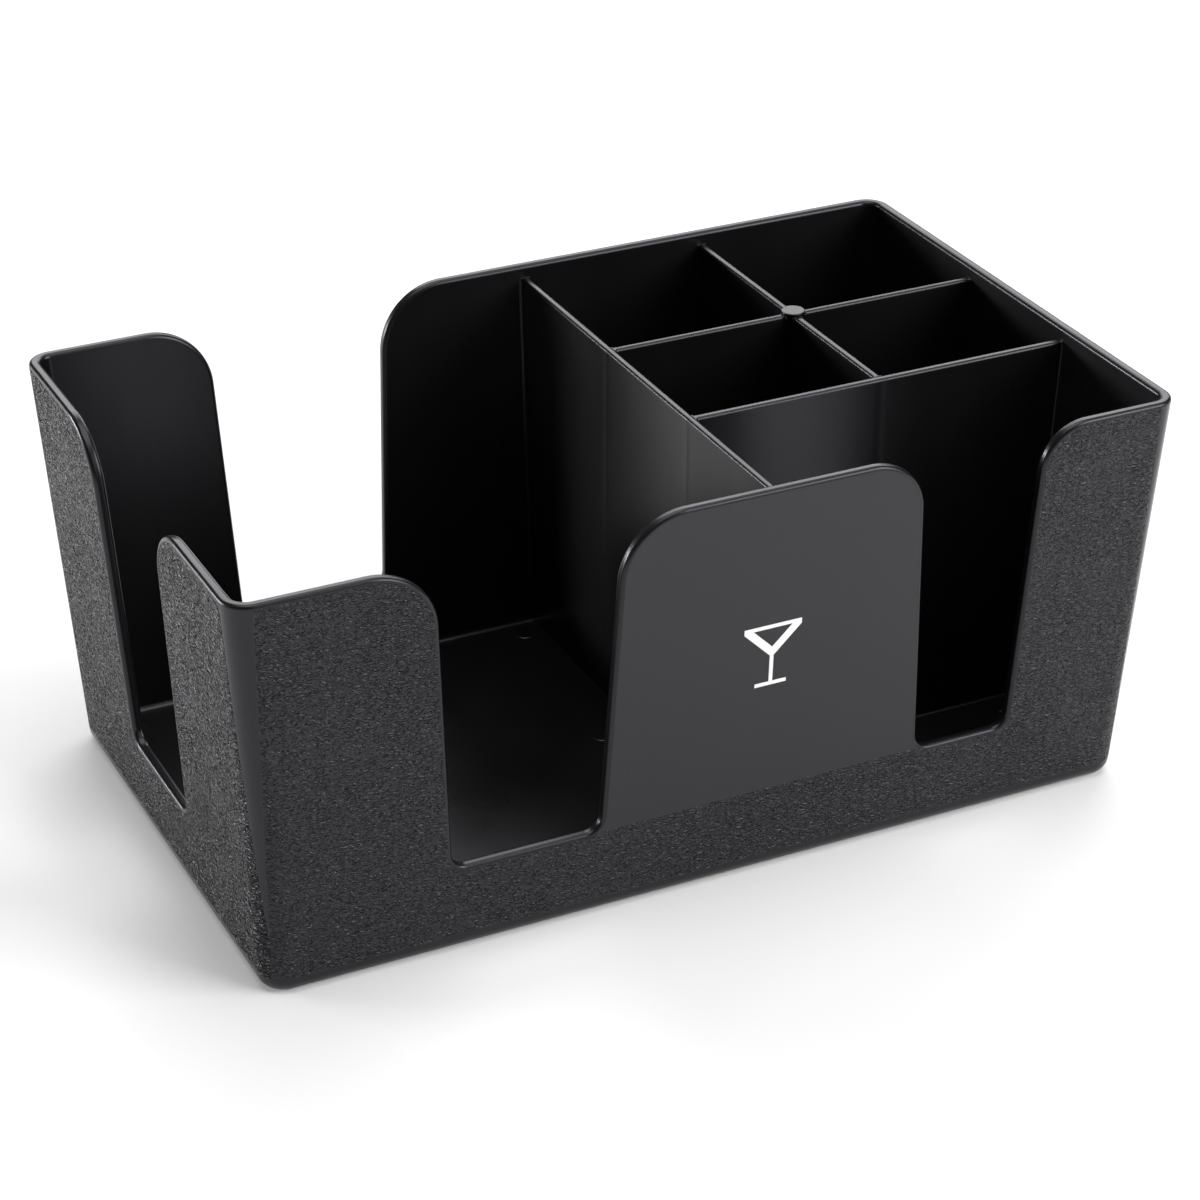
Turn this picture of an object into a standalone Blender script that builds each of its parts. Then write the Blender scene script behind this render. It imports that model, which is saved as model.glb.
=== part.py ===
"""Bar caddy: an open-topped moulded box with a napkin bay on the left, four small
bays at the back right and one long bay at the front right.

The origin is the middle of the base. +X runs along the length, +Y to the back and
+Z up, and the smooth panel with the printed pictogram faces -Y. Sizes are metres.
"""

import math

import bmesh
import bpy

# The outside, at the rim
LENGTH = 0.240
DEPTH = 0.1455
HEIGHT = 0.105

# The shell
DRAFT = 0.006  # each outer wall leans in by this much from the rim to the base
WALL = 0.0029
FLOOR = 0.0038
CORNER_RADIUS = 0.0065
BASE_FILLET = 0.0035
RIM_EDGE = 0.0011
RECESS_DEPTH = 0.0008  # the underside is hollow inside its standing edge
RECESS_INSET = 0.0085
RECESS_SLOPE = 0.0006
SMALLEST_CORNER = 0.0015

# Hand notches in the walls
NOTCH_FLOOR = 0.0233  # height of the notch bottoms above the base
NOTCH_SLOPE = 0.036  # the sides open upwards by this much for each unit of height
NOTCH_CORNER = 0.004
NAPKIN_NOTCH_X = -0.0495
FRONT_NOTCH_HALF = 0.0190
BACK_NOTCH_HALF = 0.0198
SIDE_NOTCH_Y = -0.0004
SIDE_NOTCH_HALF = 0.0188
BAY_NOTCH_X = 0.0664
BAY_NOTCH_HALF = 0.0128
WIDE_FLARE = 0.0165  # rounding of the towers' top corners
SIDE_FLARE = 0.0155
PANEL_FLARE = 0.0145
NARROW_FLARE = 0.012
FLARE_RISE = 0.0002  # the rounding runs out this far above the rim
CUTTER_OUTSIDE = 0.004
CUTTER_INSIDE = 0.016

# Dividers
DIVIDER_TOP = HEIGHT - 0.0032
DIVIDER_TAPER = 0.0004  # each face stands out by this much more at the floor
DIVIDER_EDGE = 0.0006
MAIN_DIVIDER_X = 0.0137
MAIN_DIVIDER_THICKNESS = 0.0020
BAY_WALL_Y = -0.0246
BAY_WALL_THICKNESS = 0.0022
WEB_THICKNESS = 0.0020
POST_X = 0.0651
POST_Y = 0.0191
POST_RADIUS = 0.0027
POST_TAPER = 0.0003
CAP_RADIUS = 0.0031
CAP_RISE = 0.0008  # the round cap stands this far above the dividers
CAP_THICKNESS = 0.0007
CAP_EDGE = 0.00015

# The printed pictogram, a plain cocktail glass
PRINT_X = 0.0120
PRINT_Z = 0.0610
PRINT_WIDTH = 0.0150
PRINT_HEIGHT = 0.0165
PRINT_STROKE = 0.0010
PRINT_THICKNESS = 0.0003
PRINT_FOOT_SHARE = 0.55  # the foot's width as a share of the bowl's

GAP = 0.0003  # between pieces that meet
CORNER_STEPS = 8
FILLET_STEPS = 6
EDGE_STEPS = 3
FLARE_STEPS = 14
POST_SIDES = 32

SMOOTH_ANGLE = math.radians(38)  # edges sharper than this stay sharp

BLACK_PLASTIC = (0.012, 0.012, 0.013, 1.0)
BLACK_PLASTIC_ROUGHNESS = 0.42
WHITE_INK = (0.85, 0.85, 0.84, 1.0)
WHITE_INK_ROUGHNESS = 0.5


def clear_scene():
    for obj in list(bpy.data.objects):
        bpy.data.objects.remove(obj, do_unlink=True)


def make_material(name, colour, roughness):
    material = bpy.data.materials.new(name)
    material.use_nodes = True
    shader = material.node_tree.nodes["Principled BSDF"]
    shader.inputs["Base Color"].default_value = colour
    shader.inputs["Roughness"].default_value = roughness
    shader.inputs["Metallic"].default_value = 0.0
    return material


def add_object(name, bm, material=None, smooth=False):
    """Turns a bmesh into a named object whose faces point outwards."""
    bmesh.ops.recalc_face_normals(bm, faces=bm.faces)
    mesh = bpy.data.meshes.new(name)
    bm.to_mesh(mesh)
    bm.free()
    if smooth:
        mesh.shade_smooth()
        mesh.set_sharp_from_angle(angle=SMOOTH_ANGLE)
    obj = bpy.data.objects.new(name, mesh)
    if material is not None:
        mesh.materials.append(material)
    bpy.context.scene.collection.objects.link(obj)
    return obj


def arc(centre, radius, start, end, steps):
    """Points on a circle from one angle to another, both in degrees."""
    angles = [math.radians(start + (end - start) * i / steps) for i in range(steps + 1)]
    return [(centre[0] + radius * math.cos(a), centre[1] + radius * math.sin(a)) for a in angles]


def lean(z):
    """How far the walls stand in from the rim's outline at a height."""
    return DRAFT * (1.0 - z / HEIGHT)


def half_length(z):
    return LENGTH / 2 - lean(z)


def half_depth(z):
    return DEPTH / 2 - lean(z)


def ring(bm, inset, z):
    """One round-cornered outline of the box, set in from the outer wall."""
    radius = max(CORNER_RADIUS - inset, SMALLEST_CORNER)
    x = half_length(z) - inset - radius
    y = half_depth(z) - inset - radius
    corners = ((x, y, 0), (-x, y, 90), (-x, -y, 180), (x, -y, 270))
    points = []
    for corner_x, corner_y, turn in corners:
        points += arc((corner_x, corner_y), radius, turn, turn + 90, CORNER_STEPS)
    return [bm.verts.new((px, py, z)) for px, py in points]


def bridge(bm, lower, upper):
    count = len(lower)
    for i in range(count):
        j = (i + 1) % count
        bm.faces.new((lower[i], lower[j], upper[j], upper[i]))


def shell_profile():
    """(inset, height) from the underside, out over the base, up, over the rim and down inside."""
    profile = [(RECESS_INSET + RECESS_SLOPE, RECESS_DEPTH), (RECESS_INSET, 0.0)]
    profile += arc((BASE_FILLET, BASE_FILLET), BASE_FILLET, 270, 180, FILLET_STEPS)
    profile += arc((RIM_EDGE, HEIGHT - RIM_EDGE), RIM_EDGE, 180, 90, EDGE_STEPS)
    profile += arc((WALL - RIM_EDGE, HEIGHT - RIM_EDGE), RIM_EDGE, 90, 0, EDGE_STEPS)
    profile.append((WALL, FLOOR))
    return profile


def make_shell(plastic):
    bm = bmesh.new()
    rings = [ring(bm, inset, z) for inset, z in shell_profile()]
    for lower, upper in zip(rings, rings[1:]):
        bridge(bm, lower, upper)
    bm.faces.new(rings[0])
    bm.faces.new(rings[-1])
    shell = add_object("caddy_shell", bm, plastic, smooth=True)
    for cutter in notch_cutters():
        cut = shell.modifiers.new(cutter.name, "BOOLEAN")
        cut.operation = "DIFFERENCE"
        cut.solver = "EXACT"
        cut.object = cutter
    return shell


def notch_side(half, flare):
    """(across, height) points up one side of a notch, from its bottom corner to above the rim."""
    tilt = math.degrees(math.atan(NOTCH_SLOPE))
    lip = half + NOTCH_SLOPE * (HEIGHT - NOTCH_FLOOR) + flare
    corner = (half - NOTCH_CORNER, NOTCH_FLOOR + NOTCH_CORNER)
    rounding = (lip, HEIGHT - flare + FLARE_RISE)
    points = arc(corner, NOTCH_CORNER, -90, -tilt, FILLET_STEPS)
    points += arc(rounding, flare, 180 - tilt, 90, FLARE_STEPS)
    points.append((lip, HEIGHT + CUTTER_OUTSIDE))
    return points


def notch_outline(half, left_flare, right_flare):
    left = [(-x, z) for x, z in notch_side(half, left_flare)]
    return notch_side(half, right_flare) + left[::-1]


def wall_point(wall, across, out, z):
    """The place at a distance along a wall, and a distance out from its rim."""
    if wall == "left":
        return (-LENGTH / 2 - out, across, z)
    if wall == "back":
        return (across, DEPTH / 2 + out, z)
    return (across, -DEPTH / 2 - out, z)


def make_cutter(name, wall, centre, half, left_flare, right_flare):
    """A prism through one wall, in the shape of the notch that it cuts."""
    bm = bmesh.new()
    outline = notch_outline(half, left_flare, right_flare)
    ends = []
    for out in (CUTTER_OUTSIDE, -CUTTER_INSIDE):
        ends.append([bm.verts.new(wall_point(wall, centre + x, out, z)) for x, z in outline])
    bridge(bm, *ends)
    for end in ends:
        bm.faces.new(end)
    cutter = add_object(name, bm)
    cutter.hide_render = True
    cutter.display_type = "WIRE"
    return cutter


def notch_cutters():
    """One cutter for each notch: its wall, middle, half width, and left and right rounding."""
    notches = (
        ("cutter_left", "left", SIDE_NOTCH_Y, SIDE_NOTCH_HALF, SIDE_FLARE, SIDE_FLARE),
        ("cutter_back", "back", NAPKIN_NOTCH_X, BACK_NOTCH_HALF, WIDE_FLARE, WIDE_FLARE),
        ("cutter_front", "front", NAPKIN_NOTCH_X, FRONT_NOTCH_HALF, WIDE_FLARE, WIDE_FLARE),
        ("cutter_bay", "front", BAY_NOTCH_X, BAY_NOTCH_HALF, PANEL_FLARE, NARROW_FLARE),
    )
    return [make_cutter(*notch) for notch in notches]


def inner_half_length(z):
    return half_length(z) - WALL - GAP


def inner_half_depth(z):
    return half_depth(z) - WALL - GAP


def divider_section(thickness):
    """(offset, height) points round the cross-section of a divider: tapered, with eased top edges."""
    bottom = FLOOR + GAP
    shoulder = thickness / 2 - DIVIDER_EDGE
    right = [(thickness / 2 + DIVIDER_TAPER, bottom)]
    right += arc((shoulder, DIVIDER_TOP - DIVIDER_EDGE), DIVIDER_EDGE, 0, 90, EDGE_STEPS)
    return right + [(-x, z) for x, z in reversed(right)]


def make_divider(name, runs_along, middle, start, end, thickness, plastic):
    """A standing plate between two faces; start and end give its run at each height."""
    bm = bmesh.new()
    section = divider_section(thickness)
    rings = []
    for face in (start, end):
        if runs_along == "X":
            points = [(face(z), middle + offset, z) for offset, z in section]
        else:
            points = [(middle + offset, face(z), z) for offset, z in section]
        rings.append([bm.verts.new(point) for point in points])
    bridge(bm, *rings)
    for ring_verts in rings:
        bm.faces.new(ring_verts)
    return add_object(name, bm, plastic, smooth=True)


def face_at(position, taper=0.0):
    """A face that stands at a position under the rim and moves by the taper towards the floor."""
    return lambda z: position + taper * (1.0 - (z - FLOOR) / (DIVIDER_TOP - FLOOR))


def make_dividers(plastic):
    main_right = MAIN_DIVIDER_X + MAIN_DIVIDER_THICKNESS / 2 + GAP
    bay_back = BAY_WALL_Y + BAY_WALL_THICKNESS / 2 + GAP
    post_clear = POST_RADIUS + POST_TAPER + GAP
    from_main = face_at(main_right, DIVIDER_TAPER)
    from_bay = face_at(bay_back, DIVIDER_TAPER)
    web = WEB_THICKNESS
    plates = (
        ("main_divider", "Y", MAIN_DIVIDER_X, lambda z: -inner_half_depth(z), inner_half_depth,
         MAIN_DIVIDER_THICKNESS),
        ("long_bay_wall", "X", BAY_WALL_Y, from_main, inner_half_length, BAY_WALL_THICKNESS),
        ("grid_web_left", "X", POST_Y, from_main, face_at(POST_X - post_clear), web),
        ("grid_web_right", "X", POST_Y, face_at(POST_X + post_clear), inner_half_length, web),
        ("grid_web_front", "Y", POST_X, from_bay, face_at(POST_Y - post_clear), web),
        ("grid_web_back", "Y", POST_X, face_at(POST_Y + post_clear), inner_half_depth, web),
    )
    for name, runs_along, middle, start, end, thickness in plates:
        make_divider(name, runs_along, middle, start, end, thickness, plastic)


def post_profile():
    """(radius, height) points up the post: a tapered column under a flat round cap."""
    cap_top = DIVIDER_TOP + CAP_RISE
    cap_bottom = cap_top - CAP_THICKNESS
    return (
        (POST_RADIUS + POST_TAPER, FLOOR + GAP),
        (POST_RADIUS, cap_bottom),
        (CAP_RADIUS, cap_bottom),
        (CAP_RADIUS, cap_top - CAP_EDGE),
        (CAP_RADIUS - CAP_EDGE, cap_top),
    )


def make_post(plastic):
    bm = bmesh.new()
    rings = []
    for radius, z in post_profile():
        circle = arc((POST_X, POST_Y), radius, 0, 360, POST_SIDES)[:-1]
        rings.append([bm.verts.new((x, y, z)) for x, y in circle])
    for lower, upper in zip(rings, rings[1:]):
        bridge(bm, lower, upper)
    bm.faces.new(rings[0])
    bm.faces.new(rings[-1])
    return add_object("grid_post", bm, plastic, smooth=True)


def pictogram_loops():
    """(across, up) corners of the glass's outline, and of the open triangle inside its bowl."""
    half = PRINT_WIDTH / 2
    top = PRINT_HEIGHT / 2
    stroke = PRINT_STROKE
    foot = -top
    bowl_tip = top - half  # the bowl's sides run at 45 degrees
    half_stem = stroke / 2
    slant = stroke * math.sqrt(2.0)
    foot_half = half * PRINT_FOOT_SHARE
    right = [(foot_half, foot), (foot_half, foot + stroke), (half_stem, foot + stroke)]
    right += [(half_stem, bowl_tip - slant + half_stem), (half, top - slant), (half, top)]
    outer = right + [(-x, z) for x, z in reversed(right)]
    inner_half = half - stroke * (1.0 + math.sqrt(2.0))
    inner_top = top - stroke
    inner = [(inner_half, inner_top), (-inner_half, inner_top), (0.0, inner_top - inner_half)]
    return outer, inner


def print_point(across, up, out):
    """A place on the front wall's slope, a distance out from it."""
    z = PRINT_Z + up
    return (PRINT_X + across, -half_depth(z) - out, z)


def make_print(ink):
    bm = bmesh.new()
    edges = []
    for loop in pictogram_loops():
        verts = [bm.verts.new(print_point(x, z, GAP)) for x, z in loop]
        edges += [bm.edges.new((verts[i - 1], verts[i])) for i in range(len(verts))]
    bmesh.ops.triangle_fill(bm, use_beauty=True, edges=edges)
    extruded = bmesh.ops.extrude_face_region(bm, geom=list(bm.faces))
    front = [item for item in extruded["geom"] if isinstance(item, bmesh.types.BMVert)]
    bmesh.ops.translate(bm, verts=front, vec=(0.0, -PRINT_THICKNESS, 0.0))
    return add_object("printed_pictogram", bm, ink)


def main():
    clear_scene()
    plastic = make_material("black_plastic", BLACK_PLASTIC, BLACK_PLASTIC_ROUGHNESS)
    ink = make_material("white_ink", WHITE_INK, WHITE_INK_ROUGHNESS)
    make_shell(plastic)
    make_dividers(plastic)
    make_post(plastic)
    make_print(ink)


main()
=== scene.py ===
"""Looks for the moulded bar caddy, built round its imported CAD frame. Sizes are metres.

The caddy is one moulding, so every piece here overlaps its neighbour a little and runs into it
with a fillet. +X runs along the length, +Y to the back and +Z up.
"""

import math

import bmesh
import bpy
from mathutils import Euler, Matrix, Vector
from mathutils.geometry import delaunay_2d_cdt

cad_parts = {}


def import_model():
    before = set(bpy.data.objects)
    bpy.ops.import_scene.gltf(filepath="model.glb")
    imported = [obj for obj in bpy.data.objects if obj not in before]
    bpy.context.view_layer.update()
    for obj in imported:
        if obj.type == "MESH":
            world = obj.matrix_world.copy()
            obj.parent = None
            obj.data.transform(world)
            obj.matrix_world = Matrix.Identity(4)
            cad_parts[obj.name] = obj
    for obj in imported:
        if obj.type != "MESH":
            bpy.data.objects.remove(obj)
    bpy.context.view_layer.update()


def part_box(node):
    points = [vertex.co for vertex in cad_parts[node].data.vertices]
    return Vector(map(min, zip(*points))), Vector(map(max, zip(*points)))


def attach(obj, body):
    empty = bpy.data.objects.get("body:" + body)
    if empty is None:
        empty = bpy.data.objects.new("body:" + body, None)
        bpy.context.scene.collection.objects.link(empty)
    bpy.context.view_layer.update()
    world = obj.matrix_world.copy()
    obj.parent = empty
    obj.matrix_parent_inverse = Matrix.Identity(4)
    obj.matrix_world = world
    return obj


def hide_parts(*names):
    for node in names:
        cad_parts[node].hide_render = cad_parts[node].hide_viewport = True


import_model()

# The outside at the rim, and the shell
LENGTH = 0.240
DEPTH = 0.1455
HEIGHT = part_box("caddy_shell")[1][2]
DRAFT = 0.006
WALL = 0.0029
FLOOR = 0.0038
CORNER = 0.0065
SMALLEST_CORNER = 0.0015
BASE_FILLET = 0.0035
EDGE = 0.0011
INNER_FILLET = 0.0016
RECESS_INSET = 0.0085
RECESS_DEPTH = 0.0008
# Down into the recess under the base: further in, up from the standing edge, facing out, facing up
RECESS_STEP = ((0.0, 0.0, 0.0, -1.0), (0.0003, 0.0001, -0.5, -0.85),
               (0.0005, RECESS_DEPTH - 0.0002, -0.85, -0.5), (0.0009, RECESS_DEPTH, 0.0, -1.0))

# Hand notches: where each one's middle is along its wall (anticlockwise from above), half its width
# at the bottom, and the radius of the rounding at the rim on its first and on its last side.
# NOTCH_SLOPE is how far the sides lean apart for each metre up.
NOTCH_FLOOR = 0.0233
NOTCH_SLOPE = 0.036
NOTCH_CORNER = 0.004
FRONT_NOTCH = (-0.0495, 0.0190, 0.0165, 0.0165)
BACK_NOTCH = (0.0495, 0.0198, 0.0175, 0.0165)
LEFT_NOTCH = (0.0004, 0.0188, 0.0155, 0.0160)
BAY_NOTCH = (0.0664, 0.0128, 0.0145, 0.0120)

# Low round marks that the ejector pins leave on the inner floor: middle x, y and radius
PIN_MARKS = ((0.0074, 0.0584, 0.0036), (0.0030, 0.0010, 0.0036), (0.1030, -0.0318, 0.0036),
             (0.0077, -0.0575, 0.0036), (-0.1045, 0.0565, 0.0036), (-0.1045, -0.0565, 0.0036))
PIN_RISE = 0.00025
PIN_LIP = 0.00035
PIN_INSIDE = 0.999  # a triangle whose middle is within this share of the radius is inside

# Dividers. SUNK is how far a piece runs into its neighbour, and HOLD ends a rounding's shading.
MAIN_THICKNESS = 0.0020
BAY_THICKNESS = 0.0022
WEB_THICKNESS = 0.0020
WEB_END = 0.0029  # from the post's middle
TOP_ROUNDING = 0.0008
END_FILLET = 0.0007
SUNK = 0.0004
TAPER = 0.0004
HOLD = 0.0003
SINK_WIDTH = 0.0012
SINK_DEPTH = 0.00006
SINK_REACH = 2.5  # in widths, to each side

# The post and its cap. The necks are distances down from the top.
POST_RADIUS = 0.0027
POST_FILLET = 0.0012
CAP_RADIUS = 0.00305
CAP_EDGE = 0.0003
CAP_FLAT = 0.0004
NECK_LOW, NECK_HIGH, CAP_LOW, CAP_HIGH = 0.0016, 0.0011, 0.0009, 0.0005

# The print
STROKE = 0.0010
FOOT_SHARE = 0.55  # the glass's foot, as a share of half the bowl's width
INK_LAYERS = (-0.00005, 0.00003)  # in and out from the panel

CORNER_STEPS = 12
EDGE_STEPS = 6
FILLET_STEPS = 6
NOTCH_STEPS = 8
PANEL_STEP = 4  # the front panel's smooth area ends at this step of the notches' corners
FLARE_STEPS = 24
PIN_STEPS = 40
SINK_STEPS = 20
POST_SIDES = 64
SAME_PLACE = 1e-6
ROUND_SLACK = 1e-9
MILLIMETRES = 1000.0  # the flat fills are worked out in these
FILL_PRECISION = 1e-5

RIM_X = LENGTH / 2 - CORNER
RIM_Y = DEPTH / 2 - CORNER
TURN = CORNER * math.pi / 2
BACK_MIDDLE = RIM_Y + TURN + RIM_X
LEFT_MIDDLE = BACK_MIDDLE + RIM_X + TURN + RIM_Y
FRONT_MIDDLE = LEFT_MIDDLE + RIM_Y + TURN + RIM_X
ROUND = FRONT_MIDDLE + RIM_X + TURN + RIM_Y
# Each wall's middle, half its straight run at the rim, half the box along it and out from it,
# the direction that it faces, and its notches
SIDES = (
    (0.0, RIM_Y, DEPTH / 2, LENGTH / 2, 0, ()),
    (BACK_MIDDLE, RIM_X, LENGTH / 2, DEPTH / 2, 90, (BACK_NOTCH,)),
    (LEFT_MIDDLE, RIM_Y, DEPTH / 2, LENGTH / 2, 180, (LEFT_NOTCH,)),
    (FRONT_MIDDLE, RIM_X, LENGTH / 2, DEPTH / 2, 270, (FRONT_NOTCH, BAY_NOTCH)),
    (ROUND, RIM_Y, DEPTH / 2, LENGTH / 2, 360, ()),
)


def lerp(a, b, share):
    return a + (b - a) * share


def steps(start, end, count):
    return [lerp(start, end, i / count) for i in range(count + 1)]


def lean(z):
    return DRAFT * (1.0 - z / HEIGHT)


def triangles(flat, edges):
    """The triangles that fill closed lines on a flat, each as three indices."""
    points = [Vector(p) * MILLIMETRES for p in flat]
    made = delaunay_2d_cdt(points, edges, [], 1, FILL_PRECISION)
    return [[made[3][i][0] for i in tri] for tri in made[2]]


# ---------------------------------------------------------------- the shell


def place(u, z, depth):
    """The point at u round the walls, at a height and a depth in from the outer face, and the way out."""
    radius = max(CORNER - depth, SMALLEST_CORNER)
    side = next(s for s in SIDES if u <= s[0] + s[1] + TURN + ROUND_SLACK)
    middle, half, along, out, angle, _ = side
    run = along - lean(z) - depth - radius
    reach = out - lean(z) - depth
    facing = math.radians(angle)
    ahead = Vector((-math.sin(facing), math.cos(facing), 0.0))
    outward = Vector((math.cos(facing), math.sin(facing), 0.0))
    s = u - middle
    if s <= half:
        point = ahead * (s * run / half) + outward * reach
    else:
        turn = (s - half) / TURN * math.pi / 2
        point = ahead * run + outward * (reach - radius)
        outward = outward * math.cos(turn) + ahead * math.sin(turn)
        point += outward * radius
    point.z = z
    return point, outward


def face_normal(outward):
    """The normal of the leaning wall's outer face."""
    tilt = DRAFT / HEIGHT * (abs(outward.x) + abs(outward.y))
    return Vector((outward.x, outward.y, -tilt)).normalized()


def notch_side(half, flare):
    """(along, up, facing along, facing up) from a notch's bottom corner up one side to the rim."""
    low = (half - NOTCH_CORNER, NOTCH_FLOOR + NOTCH_CORNER)
    high = (half + NOTCH_SLOPE * (HEIGHT - NOTCH_FLOOR) + flare, HEIGHT - flare)
    across, up = high[0] - low[0], high[1] - low[1]
    tilt = math.atan2(up, across) - math.acos((NOTCH_CORNER + flare) / math.hypot(across, up))
    points = []
    for a in steps(-math.pi / 2, tilt, NOTCH_STEPS):
        c, s = math.cos(a), math.sin(a)
        points.append((low[0] + NOTCH_CORNER * c, low[1] + NOTCH_CORNER * s, -c, -s))
    for a in steps(math.pi + tilt, math.pi / 2, FLARE_STEPS):
        c, s = math.cos(a), math.sin(a)
        points.append((high[0] + flare * c, high[1] + flare * s, c, s))
    return points


def top_edge():
    """The walls' top edge all the way round: (side, along, up, facing along, facing up).

    Where side is None, along is the distance round the walls itself.
    """
    edge = [(None, 0.0, HEIGHT, 0.0, 1.0)]
    for side in SIDES[:4]:
        for middle, half, first, last in side[5]:
            start = [(-s, z, -ms, mz) for s, z, ms, mz in notch_side(half, first)][::-1]
            for s, z, ms, mz in start + notch_side(half, last):
                edge.append((side, middle + s, z, ms, mz))
        for u in steps(side[0] + side[1], side[0] + side[1] + TURN, CORNER_STEPS):
            edge.append((None, u, HEIGHT, 0.0, 1.0))
    edge.append((None, ROUND, HEIGHT, 0.0, 1.0))
    return edge


def inset(entry, by):
    """Where a point of the top edge goes, as (round, up), when the edge moves into the wall."""
    side, along, up, facing_along, facing_up = entry
    z = up - facing_up * by
    if side is None:
        return along, z
    middle, half, size = side[:3]
    run = size - lean(z) - CORNER
    return middle + (along - facing_along * by) * half / run, z


class Shape:
    """A bmesh whose vertices carry the normal that they're shaded with."""

    def __init__(self):
        self.bm = bmesh.new()
        self.facing = self.bm.verts.layers.float_vector.new("facing")

    def vert(self, point, normal):
        v = self.bm.verts.new(point)
        v[self.facing] = normal.normalized()
        return v

    def strip(self, lower, upper, slot=0, closed=False):
        count = len(lower)
        for i in range(count if closed else count - 1):
            j = (i + 1) % count
            face = self.bm.faces.new((lower[i], lower[j], upper[j], upper[i]))
            face.material_index = slot

    def fill(self, flat, verts, edges, slot=0, keep=None):
        """Triangles between closed lines; flat gives each vertex's place on the unrolled surface."""
        for ids in triangles(flat, edges):
            x = sum(flat[i][0] for i in ids) / 3
            y = sum(flat[i][1] for i in ids) / 3
            if keep is None or keep(x, y):
                chosen = slot(x, y) if callable(slot) else slot
                self.bm.faces.new([verts[i] for i in ids]).material_index = chosen

    def finish(self, name, materials):
        bmesh.ops.remove_doubles(self.bm, verts=self.bm.verts, dist=SAME_PLACE)
        bmesh.ops.recalc_face_normals(self.bm, faces=self.bm.faces)
        self.bm.verts.ensure_lookup_table()
        normals = [tuple(v[self.facing]) for v in self.bm.verts]
        self.bm.verts.layers.float_vector.remove(self.facing)
        mesh = bpy.data.meshes.new(name)
        self.bm.to_mesh(mesh)
        self.bm.free()
        mesh.shade_smooth()
        mesh.normals_split_custom_set_from_vertices(normals)
        return add(name, mesh, materials)


def add(name, mesh, materials):
    obj = bpy.data.objects.new(name, mesh)
    bpy.context.scene.collection.objects.link(obj)
    for material in materials:
        mesh.materials.append(material)
    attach(obj, "root")
    return obj


def wall_ring(shape, places, depth, normal_of):
    """Vertices at (round, up) places at one depth; normal_of gives the normal from the outer face's."""
    verts = []
    for u, z in places:
        point, outward = place(u, z, depth)
        verts.append(shape.vert(point, normal_of(face_normal(outward))))
    return verts


def rim_rings(shape, edge):
    """The rounded top edge, from the outer face over to the inner one."""
    rings = []
    turns = steps(0.0, math.pi / 2, EDGE_STEPS)
    sections = [(a, EDGE * (1 - math.cos(a)), 1.0) for a in turns]
    sections += [(a, WALL - EDGE * (1 - math.cos(a)), -1.0) for a in reversed(turns)]
    for turn, depth, sign in sections:
        ring = []
        for entry in edge:
            u, z = inset(entry, EDGE * (1 - math.sin(turn)))
            point, outward = place(u, z, depth)
            ahead = Vector((-outward.y, outward.x, 0.0))
            facing = ahead * entry[3] + Vector((0, 0, entry[4]))
            normal = face_normal(outward) * (sign * math.cos(turn)) + facing * math.sin(turn)
            ring.append(shape.vert(point, normal))
        rings.append(ring)
    for lower, upper in zip(rings, rings[1:]):
        shape.strip(lower, upper)
    return rings[0], rings[-1]


def panel_line(edge):
    """The two points of the top edge between which the front panel's smooth area ends."""
    highest = NOTCH_FLOOR + NOTCH_CORNER
    low = [i for i, entry in enumerate(edge) if entry[0] is SIDES[3] and entry[2] < highest]
    count = NOTCH_STEPS + 1
    return low[count + PANEL_STEP], low[3 * count - 1 - PANEL_STEP]


def in_panel(u, z):
    """Whether a place on the outer face is in the smooth area between the two front notches."""
    middle = (FRONT_NOTCH[0] + BAY_NOTCH[0]) / 2 + FRONT_MIDDLE
    return z > NOTCH_FLOOR and abs(u - middle) < (BAY_NOTCH[0] - FRONT_NOTCH[0]) / 2


def fill_wall(shape, edge, top, bottom_places, bottom, slot):
    """One face of all the walls, from the rounded top edge down to a level line."""
    flat = [inset(entry, EDGE) for entry in edge] + bottom_places
    count = len(edge)
    edges = [(i, i + 1) for i in range(count - 1)]
    edges += [(count + i, count + i + 1) for i in range(len(bottom) - 1)]
    rounds = [i for i, entry in enumerate(edge) if entry[0] is None]
    edges += list(zip(rounds, range(count, count + len(bottom))))
    edges.append(panel_line(edge))
    shape.fill(flat, top + bottom, edges, slot)


def level(z):
    """(round, up) places at one height: the corners' steps and the seam."""
    return [(entry[1], z) for entry in top_edge() if entry[0] is None]


def profile_rings(shape, places, profile, first):
    """Rings down a profile of (depth, up, facing out, facing up), joined to the first ring."""
    last = first
    for depth, z, out, up in profile:
        ring = []
        for u, _ in places:
            point, outward = place(u, z, depth)
            ring.append(shape.vert(point, face_normal(outward) * out + Vector((0, 0, up))))
        shape.strip(last, ring)
        last = ring
    return last


def base_profile():
    rows = []
    for a in steps(0.0, math.pi / 2, FILLET_STEPS)[1:]:
        rows.append((BASE_FILLET * (1 - math.cos(a)), BASE_FILLET * (1 - math.sin(a)),
                     math.cos(a), -math.sin(a)))
    rows += [(RECESS_INSET + further, z, out, up) for further, z, out, up in RECESS_STEP]
    return rows


def inner_profile():
    rows = []
    for a in steps(0.0, math.pi / 2, FILLET_STEPS)[1:]:
        rows.append((WALL + INNER_FILLET * (1 - math.cos(a)), FLOOR + INNER_FILLET * (1 - math.sin(a)),
                     -math.cos(a), math.sin(a)))
    return rows


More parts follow.
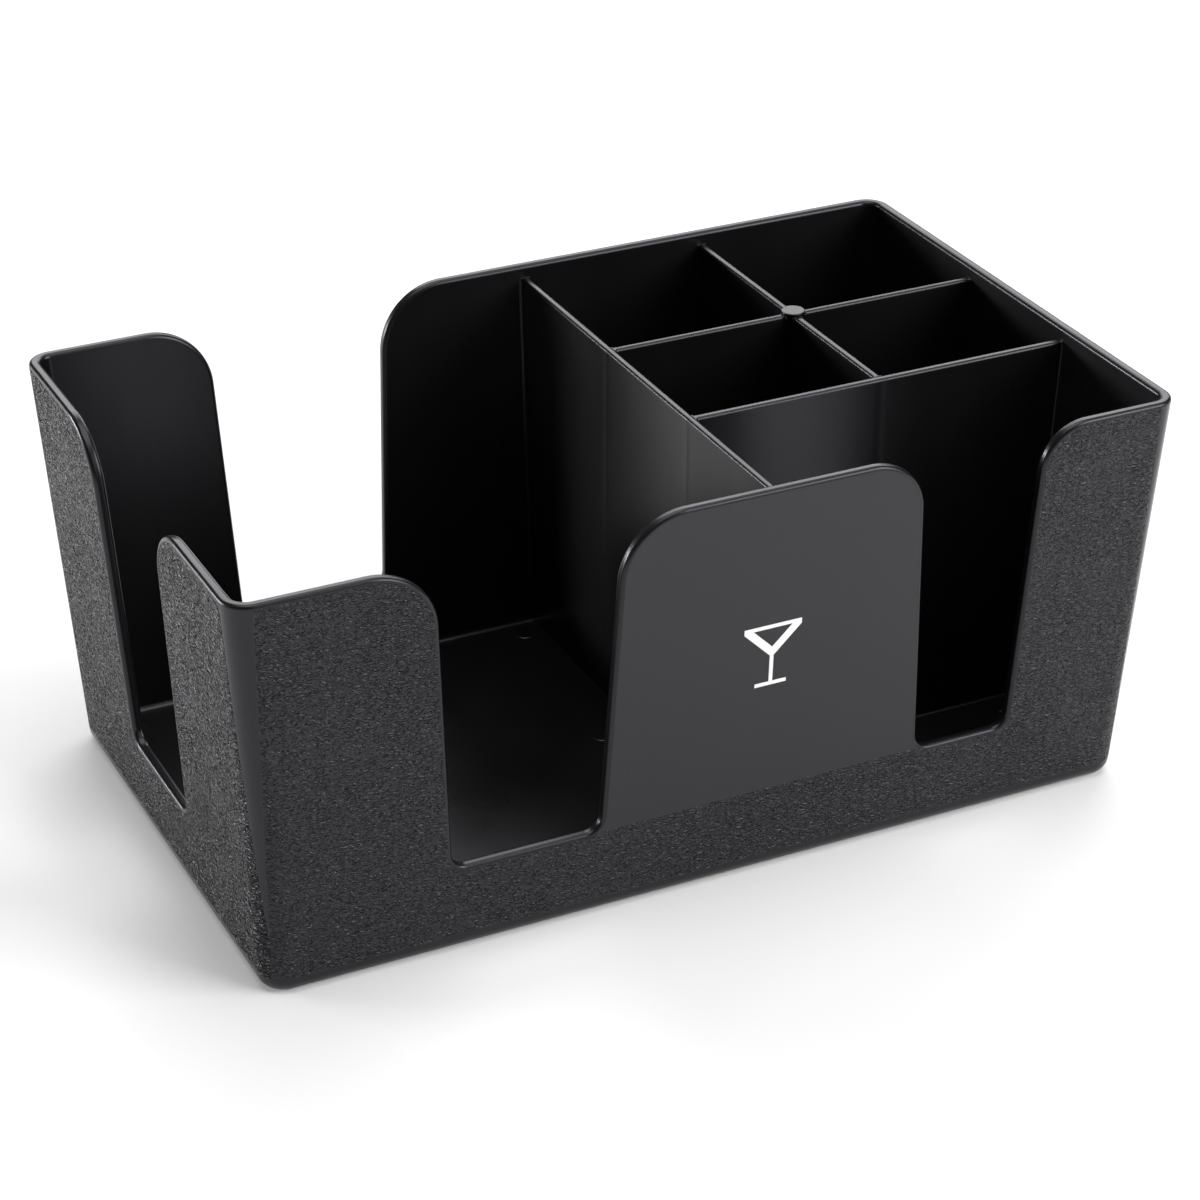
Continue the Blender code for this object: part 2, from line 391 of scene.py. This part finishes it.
def fill_floor(shape, ring):
    """The inner floor, with the low round marks of the ejector pins."""
    verts = ring[:-1]
    flat = [(v.co.x, v.co.y) for v in verts]
    edges = [(i, (i + 1) % len(verts)) for i in range(len(verts))]
    for x, y, radius in PIN_MARKS:
        rows = ((radius, FLOOR, 0.0), (radius - PIN_LIP / 2, FLOOR + PIN_RISE / 2, 1.0),
                (radius - PIN_LIP, FLOOR + PIN_RISE, 0.0))
        rims = []
        for r, z, slope in rows:
            rim = []
            for i in range(PIN_STEPS):
                c, s = math.cos(math.tau * i / PIN_STEPS), math.sin(math.tau * i / PIN_STEPS)
                rim.append(shape.vert((x + r * c, y + r * s, z), Vector((c * slope, s * slope, 1.0))))
            rims.append(rim)
        for outer, inner in zip(rims, rims[1:]):
            shape.strip(outer, inner, closed=True)
        shape.bm.faces.new(rims[-1])
        start = len(verts)
        verts = verts + rims[0]
        flat = flat + [(v.co.x, v.co.y) for v in rims[0]]
        edges += [(start + i, start + (i + 1) % PIN_STEPS) for i in range(PIN_STEPS)]

    def outside_pins(px, py):
        return all(math.hypot(px - x, py - y) > r * PIN_INSIDE for x, y, r in PIN_MARKS)

    shape.fill(flat, verts, edges, 0, outside_pins)


def make_shell(smooth, grained, panel):
    shape = Shape()
    edge = top_edge()
    outer, inner = rim_rings(shape, edge)
    outer_places = level(BASE_FILLET)
    outer_line = wall_ring(shape, outer_places, 0.0, lambda n: n)
    fill_wall(shape, edge, outer, outer_places, outer_line, lambda u, z: 2 if in_panel(u, z) else 1)
    inner_places = level(FLOOR + INNER_FILLET)
    inner_line = wall_ring(shape, inner_places, WALL, lambda n: -n)
    fill_wall(shape, edge, inner, inner_places, inner_line, 0)
    under = profile_rings(shape, outer_places, base_profile(), outer_line)
    shape.bm.faces.new(under[:-1])
    floor_ring = profile_rings(shape, inner_places, inner_profile(), inner_line)
    fill_floor(shape, floor_ring)
    shell = shape.finish("shell_moulding", (smooth, grained, panel))
    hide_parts("caddy_shell")


# ---------------------------------------------------------------- the dividers


def fillet_rows(radius, count):
    """(distance from the face, extra thickness) along a fillet, from the face outwards."""
    rows = []
    for a in steps(math.pi / 2, 0.0, count):
        rows.append((radius * (1 - math.sin(a)), radius * (1 - math.cos(a))))
    return rows


def taper(z, top):
    """How much further out a divider's side is at a height than at its top."""
    return TAPER * (top - z) / (top - FLOOR)


def divider_heights(top):
    """(height, extra thickness, share of the top rounding) up one side of a divider."""
    rows = [(FLOOR - SUNK, END_FILLET, 0.0)]
    rows += [(FLOOR + d, extra, 0.0) for d, extra in fillet_rows(END_FILLET, FILLET_STEPS)]
    rows.append((FLOOR + END_FILLET + HOLD, 0.0, 0.0))
    rows.append((top - TOP_ROUNDING - HOLD, 0.0, 0.0))
    for a in steps(0.0, math.pi / 2, EDGE_STEPS):
        rows.append((top - TOP_ROUNDING * (1 - math.sin(a)), 0.0, 1 - math.cos(a)))
    return rows


def sink_stations(sinks):
    """(place along the divider, how far its low side sinks in there) across each sink mark."""
    rows = []
    for centre in sorted(sinks):
        for d in steps(-SINK_REACH * SINK_WIDTH, SINK_REACH * SINK_WIDTH, SINK_STEPS):
            rows.append((centre + d, SINK_DEPTH * math.exp(-(d / SINK_WIDTH) ** 2)))
    return rows


def make_tube(name, rings, smooth):
    """A piece whose skin runs through rings of points, closed at both ends."""
    bm = bmesh.new()
    rings = [[bm.verts.new(point) for point in ring] for ring in rings]
    for near, far in zip(rings, rings[1:]):
        for i in range(len(near)):
            j = (i + 1) % len(near)
            bm.faces.new((near[i], near[j], far[j], far[i]))
    bm.faces.new(rings[0])
    bm.faces.new(rings[-1])
    bmesh.ops.recalc_face_normals(bm, faces=bm.faces)
    mesh = bpy.data.meshes.new(name)
    bm.to_mesh(mesh)
    bm.free()
    mesh.shade_smooth()
    return add(name, mesh, (smooth,))


def make_divider(name, along, middle, start, end, thickness, top, smooth, sinks):
    """A standing plate between two faces, flared into them and into the floor, with a rounded top.

    Its low side sinks in a little where another divider meets its high side.
    """
    ends = [(-SUNK, END_FILLET)] + fillet_rows(END_FILLET, FILLET_STEPS) + [(END_FILLET + HOLD, 0.0)]
    stations = [(start, d, extra, 0.0) for d, extra in ends]
    stations += [(lambda z, at=at: at, 0.0, 0.0, sunk) for at, sunk in sink_stations(sinks)]
    stations += [(end, -d, extra, 0.0) for d, extra in reversed(ends)]
    rings = []
    for face, d, end_extra, sunk in stations:
        side = []
        for z, floor_extra, rounding in divider_heights(top):
            half = thickness / 2 + taper(z, top) + math.hypot(end_extra, floor_extra)
            side.append((face(z) + d, half - TOP_ROUNDING * rounding, z))
        loop = side + [(s, sunk - offset, z) for s, offset, z in reversed(side)]
        if along == "X":
            rings.append([(s, middle + offset, z) for s, offset, z in loop])
        else:
            rings.append([(middle + offset, s, z) for s, offset, z in loop])
    obj = make_tube(name + "_moulding", rings, smooth)
    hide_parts(name)


def middle_of(node, axis):
    low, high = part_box(node)
    return (low[axis] + high[axis]) / 2


def make_dividers(smooth):
    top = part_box("main_divider")[1][2]
    main_x = middle_of("main_divider", 0)
    bay_y = middle_of("long_bay_wall", 1)
    post_x = middle_of("grid_post", 0)
    post_y = middle_of("grid_post", 1)

    def inner_x(z):
        return LENGTH / 2 - lean(z) - WALL

    def inner_y(z):
        return DEPTH / 2 - lean(z) - WALL

    def main_face(z):
        return main_x + MAIN_THICKNESS / 2 + taper(z, top)

    def bay_face(z):
        return bay_y + BAY_THICKNESS / 2 + taper(z, top)

    def before(middle):
        return lambda z: middle - WEB_END

    def past(middle):
        return lambda z: middle + WEB_END

    main, bay, web = MAIN_THICKNESS, BAY_THICKNESS, WEB_THICKNESS
    plates = (
        ("main_divider", "Y", main_x, lambda z: -inner_y(z), inner_y, main, (bay_y, post_y)),
        ("long_bay_wall", "X", bay_y, main_face, inner_x, bay, (post_x,)),
        ("grid_web_left", "X", post_y, main_face, before(post_x), web, ()),
        ("grid_web_right", "X", post_y, past(post_x), inner_x, web, ()),
        ("grid_web_front", "Y", post_x, bay_face, before(post_y), web, ()),
        ("grid_web_back", "Y", post_x, past(post_y), inner_y, web, ()),
    )
    for name, along, middle, start, end, thickness, sinks in plates:
        make_divider(name, along, middle, start, end, thickness, top, smooth, sinks)


def make_post(smooth):
    """The round post under the webs' crossing, with its flat cap."""
    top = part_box("grid_post")[1][2]
    x, y = middle_of("grid_post", 0), middle_of("grid_post", 1)
    foot = POST_RADIUS + TAPER
    rows = [(foot + POST_FILLET, FLOOR - SUNK), (foot + POST_FILLET, FLOOR)]
    rows += [(foot + extra, FLOOR + d) for d, extra in fillet_rows(POST_FILLET, FILLET_STEPS)[1:]]
    rows += [(POST_RADIUS, top - NECK_LOW), (POST_RADIUS, top - NECK_HIGH)]
    rows += [(CAP_RADIUS, top - CAP_LOW), (CAP_RADIUS, top - CAP_HIGH)]
    for a in steps(0.0, math.pi / 2, EDGE_STEPS):
        rows.append((CAP_RADIUS - CAP_EDGE * (1 - math.cos(a)), top - CAP_EDGE * (1 - math.sin(a))))
    rows.append((CAP_RADIUS - CAP_EDGE - CAP_FLAT, top))
    turns = [math.tau * i / POST_SIDES for i in range(POST_SIDES)]
    rings = [[(x + r * math.cos(a), y + r * math.sin(a), z) for a in turns] for r, z in rows]
    obj = make_tube("post_moulding", rings, smooth)
    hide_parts("grid_post")


# ---------------------------------------------------------------- the print


def make_print(ink):
    """A plain cocktail glass, printed on the smooth front panel."""
    low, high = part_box("printed_pictogram")
    middle_x, middle_z = (low[0] + high[0]) / 2, (low[2] + high[2]) / 2
    half, top = (high[0] - low[0]) / 2, (high[2] - low[2]) / 2
    bowl_tip = top - half
    slant = STROKE * math.sqrt(2.0)
    foot = half * FOOT_SHARE
    right = [(foot, -top), (foot, -top + STROKE), (STROKE / 2, -top + STROKE)]
    right += [(STROKE / 2, bowl_tip - slant + STROKE / 2), (half, top - slant), (half, top)]
    outer = right + [(-x, z) for x, z in reversed(right)]
    inner_half = half - STROKE * (1 + math.sqrt(2.0))
    inner_top = top - STROKE
    inner = [(inner_half, inner_top), (-inner_half, inner_top), (0.0, inner_top - inner_half)]
    flat = outer + inner
    edges = [(i, (i + 1) % len(outer)) for i in range(len(outer))]
    edges += [(len(outer) + i, len(outer) + (i + 1) % 3) for i in range(3)]

    def in_bowl(x, z):
        return z < inner_top and z > inner_top - inner_half + abs(x)

    bm = bmesh.new()
    layers = []
    for out in INK_LAYERS:
        places = [(middle_x + x, middle_z + z) for x, z in flat]
        layers.append([bm.verts.new((x, -(DEPTH / 2 - lean(z)) - out, z)) for x, z in places])
    for ids in triangles(flat, edges):
        if in_bowl(sum(flat[i][0] for i in ids) / 3, sum(flat[i][1] for i in ids) / 3):
            continue
        bm.faces.new([layers[0][i] for i in ids])
        bm.faces.new([layers[1][i] for i in reversed(ids)])
    for a, b in edges:
        bm.faces.new((layers[0][a], layers[0][b], layers[1][b], layers[1][a]))
    bmesh.ops.recalc_face_normals(bm, faces=bm.faces)
    mesh = bpy.data.meshes.new("pictogram_ink")
    bm.to_mesh(mesh)
    bm.free()
    obj = add("pictogram_ink", mesh, (ink,))
    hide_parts("printed_pictogram")


# ---------------------------------------------------------------- materials


class Nodes:
    """Short calls for a material's nodes."""

    def __init__(self, name):
        self.material = bpy.data.materials.new(name)
        self.material.use_nodes = True
        self.tree = self.material.node_tree
        self.shader = self.tree.nodes["Principled BSDF"]
        self.place = self.tree.nodes.new("ShaderNodeTexCoord").outputs["Object"]

    def put(self, socket, value):
        if isinstance(value, bpy.types.NodeSocket):
            self.tree.links.new(value, socket)
        else:
            socket.default_value = value

    def math(self, operation, a, b=0.0, clamp=False):
        node = self.tree.nodes.new("ShaderNodeMath")
        node.operation = operation
        node.use_clamp = clamp
        self.put(node.inputs[0], a)
        self.put(node.inputs[1], b)
        return node.outputs[0]

    def ramp(self, value, low, high, to_low=0.0, to_high=1.0, smooth=True):
        node = self.tree.nodes.new("ShaderNodeMapRange")
        node.interpolation_type = "SMOOTHSTEP" if smooth else "LINEAR"
        self.put(node.inputs["Value"], value)
        numbers = {"From Min": low, "From Max": high, "To Min": to_low, "To Max": to_high}
        for name, number in numbers.items():
            self.put(node.inputs[name], number)
        return node.outputs["Result"]

    def stretch(self, scale):
        node = self.tree.nodes.new("ShaderNodeMapping")
        self.put(node.inputs["Vector"], self.place)
        node.inputs["Scale"].default_value = scale
        return node.outputs["Vector"]

    def noise(self, scale, detail, vector=None, distortion=0.0):
        node = self.tree.nodes.new("ShaderNodeTexNoise")
        self.put(node.inputs["Vector"], vector or self.place)
        node.inputs["Scale"].default_value = scale
        node.inputs["Detail"].default_value = detail
        node.inputs["Distortion"].default_value = distortion
        return node.outputs["Fac"]

    def wrinkles(self, scale, vector, width, distortion):
        """Wavy creases, 0 in the crease and 1 between them."""
        wave = self.noise(scale, 1.0, vector, distortion=distortion)
        return self.ramp(self.math("ABSOLUTE", self.math("SUBTRACT", wave, 0.5)), 0.0, width)

    def mix(self, share, a, b):
        node = self.tree.nodes.new("ShaderNodeMix")
        node.data_type = "RGBA"
        self.put(node.inputs["Factor"], share)
        self.put(node.inputs["A"], a)
        self.put(node.inputs["B"], b)
        return node.outputs["Result"]

    def set_gloss(self, gloss):
        self.shader.inputs["IOR"].default_value = PLASTIC_IOR
        self.shader.inputs["Specular IOR Level"].default_value = gloss
        self.shader.inputs["Specular Tint"].default_value = VIOLET_CAST

    def bump(self, height, distance):
        node = self.tree.nodes.new("ShaderNodeBump")
        self.put(node.inputs["Height"], height)
        node.inputs["Distance"].default_value = distance
        node.inputs["Strength"].default_value = 1.0
        self.put(self.shader.inputs["Normal"], node.outputs["Normal"])


BLACK = (0.0042, 0.0040, 0.0044, 1.0)
# The paler black: a random paler tone in the smooth faces' clouds, and a painted highlight on the grain's
# crests
BLACK_PALE_AND_SHEEN = (0.0064, 0.0061, 0.0067, 1.0)
VIOLET_CAST = (0.93, 0.905, 1.0, 1.0)
PLASTIC_IOR = 1.5
INNER_GLOSS = 0.38
PANEL_GLOSS = 0.54
GRAIN_GLOSS = 0.41
NOISE_LOW, NOISE_HIGH = 0.3, 0.7  # what a noise's values mostly lie between

# The smooth faces: upright flow marks in the surface and clouds in the colour and the roughness
FLOW_SCALE = 60.0
FLOW_STRETCH = (1.0, 1.0, 0.12)
FLOW_DEPTH = 0.00005
CLOUD_SCALE = 35.0
CLOUD_STRETCH = (1.0, 1.0, 0.35)
SMOOTH_ROUGHNESS = (0.27, 0.32)

# The grain: creases and lumps, longer along the walls than up them, with the mean height taken off
GRAIN_DEPTH = 0.00036
GRAIN_STRETCH = (1.0, 1.0, 2.2)
CREASE_SCALE = 560.0
CREASE_WIDTH = 0.16
CREASE_WAVE = 0.5
CREASE_SHARE = 0.55
LUMP_SCALE = 640.0
LUMP_SHARE = 1.1
GRAIN_MEAN = 0.9
GRAIN_ROUGHNESS = (0.26, 0.30)
GRAIN_CLOUD_SCALE = 40.0
PATCH_SCALE = 55.0
PATCH_DEPTHS = (0.88, 1.1)
END_WALL_DEEPER = 0.7
END_WALL_GLOSSIER = 0.10
# Where the grain ends next to the corners, at the rim, how much nearer the middle at the base,
# and where it ends over the foot
GRAIN_END_X = 0.1143
GRAIN_END_Y = 0.0668
GRAIN_LEAN_X = 0.0020
GRAIN_LEAN_Y = 0.0010
GRAIN_BLEND = 0.0002
GRAIN_FOOT = (0.0042, 0.0048)

INK_DIM = (0.86, 0.86, 0.85, 1.0)
INK_BRIGHT = (0.95, 0.95, 0.94, 1.0)
INK_SCALE = 1500.0
INK_ROUGHNESS = (0.42, 0.55)
INK_BUMP = 0.000003


def smooth_plastic(name, gloss):
    """Satin moulded plastic: faint flow marks in the colour, in the gloss and in the surface."""
    n = Nodes(name)
    cloud = n.noise(CLOUD_SCALE, 3.0, n.stretch(CLOUD_STRETCH))
    n.put(n.shader.inputs["Base Color"], n.mix(cloud, BLACK, BLACK_PALE_AND_SHEEN))
    n.put(n.shader.inputs["Roughness"], n.ramp(cloud, NOISE_LOW, NOISE_HIGH, *SMOOTH_ROUGHNESS))
    n.set_gloss(gloss)
    n.bump(n.noise(FLOW_SCALE, 2.0, n.stretch(FLOW_STRETCH)), FLOW_DEPTH)
    return n.material


def past_end(n, distance, drop, end, leaning):
    """How far a place is past the line where the grain ends; the line leans with the wall."""
    line = n.math("SUBTRACT", end, n.math("MULTIPLY", drop, leaning))
    return n.math("SUBTRACT", n.math("ABSOLUTE", distance), line)


def grained_plastic():
    """The outer faces: fine leather grain, which stops short of the corners and of the foot."""
    n = Nodes("grained_black_plastic")
    split = n.tree.nodes.new("ShaderNodeSeparateXYZ")
    n.put(split.inputs[0], n.place)
    x, y, z = split.outputs
    drop = n.ramp(z, 0.0, HEIGHT, 1.0, 0.0, smooth=False)
    past_x = past_end(n, x, drop, GRAIN_END_X, GRAIN_LEAN_X)
    past_y = past_end(n, y, drop, GRAIN_END_Y, GRAIN_LEAN_Y)
    corner = n.ramp(n.math("MINIMUM", past_x, past_y), -GRAIN_BLEND, GRAIN_BLEND)
    foot = n.ramp(z, *GRAIN_FOOT, 1.0, 0.0)
    share = n.math("SUBTRACT", 1.0, n.math("MAXIMUM", corner, foot), clamp=True)
    end_wall = n.ramp(past_x, -GRAIN_BLEND, GRAIN_BLEND)

    creases = n.wrinkles(CREASE_SCALE, n.stretch(GRAIN_STRETCH), CREASE_WIDTH, CREASE_WAVE)
    lumps = n.noise(LUMP_SCALE, 1.0, n.stretch(GRAIN_STRETCH))
    lumps = n.math("MULTIPLY", lumps, LUMP_SHARE)
    height = n.math("ADD", n.math("MULTIPLY", creases, CREASE_SHARE), lumps)
    height = n.math("SUBTRACT", height, GRAIN_MEAN)
    patches = n.ramp(n.noise(PATCH_SCALE, 2.0), NOISE_LOW, NOISE_HIGH, *PATCH_DEPTHS)
    deeper = n.math("ADD", n.math("MULTIPLY", end_wall, END_WALL_DEEPER), 1.0)
    depth = n.math("MULTIPLY", patches, deeper)
    n.bump(n.math("MULTIPLY", n.math("MULTIPLY", height, depth), share), GRAIN_DEPTH)
    n.material.cycles.use_bump_map_correction = False

    cloud = n.noise(GRAIN_CLOUD_SCALE, 3.0)
    # Painted shade and highlight: the grain's colour is darker in its creases and paler on the crests
    # between them
    n.put(n.shader.inputs["Base Color"], n.mix(n.math("MULTIPLY", creases, share), BLACK, BLACK_PALE_AND_SHEEN))
    rough = n.ramp(cloud, NOISE_LOW, NOISE_HIGH, *GRAIN_ROUGHNESS)
    rough = n.math("SUBTRACT", rough, n.math("MULTIPLY", end_wall, END_WALL_GLOSSIER))
    n.put(n.shader.inputs["Roughness"], rough)
    n.set_gloss(GRAIN_GLOSS)
    return n.material


def white_ink():
    """Slightly uneven screen-printed ink."""
    n = Nodes("white_print_ink")
    cloud = n.noise(INK_SCALE, 3.0)
    n.put(n.shader.inputs["Base Color"], n.mix(cloud, INK_DIM, INK_BRIGHT))
    n.put(n.shader.inputs["Roughness"], n.ramp(cloud, NOISE_LOW, NOISE_HIGH, *INK_ROUGHNESS))
    n.bump(cloud, INK_BUMP)
    return n.material


# ---------------------------------------------------------------- stage, light and camera

FLOOR_SIZE = 40.0
FLOOR_LIT = 1.2  # out to here the lamps light the floor
FLOOR_DIM = 3.0  # and from here it has only its glow
FLOOR_NEAR = (0.85, 0.85, 0.85, 1.0)
FLOOR_FAR = (0.70, 0.70, 0.70, 1.0)
GLOW_NEAR = 0.14
GLOW_FAR = 0.50
FLOOR_ROUGHNESS = 0.8
FLOOR_GLOSS = 0.1
WHITE = (1.0, 1.0, 1.0, 1.0)
WORLD_STRENGTH = 0.08
# Name, place, what it points at, size and watts
LAMPS = (
    ("back", (0.8, 1.4, 1.15), (0.0, 0.0, 0.06), (2.0, 1.1), 27.0),
    ("key", (1.0, -1.1, 0.85), (0.0, 0.0, 0.05), (1.0, 1.0), 22.0),
    ("left", (-1.4, 1.1, 0.25), (0.0, 0.0, 0.05), (0.8, 0.25), 24.0),
    ("overhead", (0.1, -0.1, 2.0), (0.0, 0.0, 0.0), (1.6, 1.6), 24.0),
)
LENS = 100.89  # millimetres, as is the sensor's width
SENSOR = 36.0
SHIFT = (0.0075, -0.00047)
CAMERA_PLACE = (-0.31766, -0.66465, 0.44329)
CAMERA_TURN = (61.546, 0.180, -25.585)  # degrees


def make_stage():
    """A wide white floor. Far from the lamps a little glow keeps it pale."""
    n = Nodes("floor_white")
    away = n.tree.nodes.new("ShaderNodeVectorMath")
    away.operation = "LENGTH"
    n.put(away.inputs[0], n.place)
    near = n.ramp(away.outputs["Value"], FLOOR_LIT, FLOOR_DIM, 1.0, 0.0)
    n.put(n.shader.inputs["Base Color"], n.mix(near, FLOOR_FAR, FLOOR_NEAR))
    n.shader.inputs["Emission Color"].default_value = WHITE
    glow = n.ramp(near, 0.0, 1.0, GLOW_FAR, GLOW_NEAR, smooth=False)
    n.put(n.shader.inputs["Emission Strength"], glow)
    n.shader.inputs["Roughness"].default_value = FLOOR_ROUGHNESS
    n.shader.inputs["Specular IOR Level"].default_value = FLOOR_GLOSS
    bm = bmesh.new()
    corners = ((-1, -1), (1, -1), (1, 1), (-1, 1))
    bm.faces.new([bm.verts.new((x * FLOOR_SIZE, y * FLOOR_SIZE, 0.0)) for x, y in corners])
    mesh = bpy.data.meshes.new("floor")
    bm.to_mesh(mesh)
    bm.free()
    mesh.materials.append(n.material)
    floor = bpy.data.objects.new("floor", mesh)
    bpy.context.scene.collection.objects.link(floor)


def make_light(name, place_at, target, size, power):
    light = bpy.data.lights.new(name, "AREA")
    light.shape = "RECTANGLE"
    light.size, light.size_y = size
    light.energy = power
    obj = bpy.data.objects.new(name, light)
    obj.location = place_at
    obj.rotation_euler = (Vector(target) - Vector(place_at)).to_track_quat("-Z", "Y").to_euler()
    obj.visible_camera = False
    bpy.context.scene.collection.objects.link(obj)


def make_lights():
    world = bpy.data.worlds.new("studio")
    world.use_nodes = True
    background = world.node_tree.nodes["Background"]
    background.inputs["Color"].default_value = WHITE
    background.inputs["Strength"].default_value = WORLD_STRENGTH
    bpy.context.scene.world = world
    for lamp in LAMPS:
        make_light(*lamp)


def make_camera():
    camera = bpy.data.cameras.new("camera")
    camera.sensor_width = SENSOR
    camera.lens = LENS
    camera.shift_x, camera.shift_y = SHIFT
    camera.clip_start = 0.01
    obj = bpy.data.objects.new("camera", camera)
    obj.location = CAMERA_PLACE
    obj.rotation_euler = Euler([math.radians(a) for a in CAMERA_TURN])
    bpy.context.scene.collection.objects.link(obj)
    bpy.context.scene.camera = obj


smooth = smooth_plastic("smooth_black_plastic", INNER_GLOSS)
make_shell(smooth, grained_plastic(), smooth_plastic("panel_black_plastic", PANEL_GLOSS))
make_dividers(smooth)
make_post(smooth)
make_print(white_ink())
make_stage()
make_lights()
make_camera()
bpy.context.scene.view_settings.view_transform = "Standard"

bpy.context.view_layer.update()
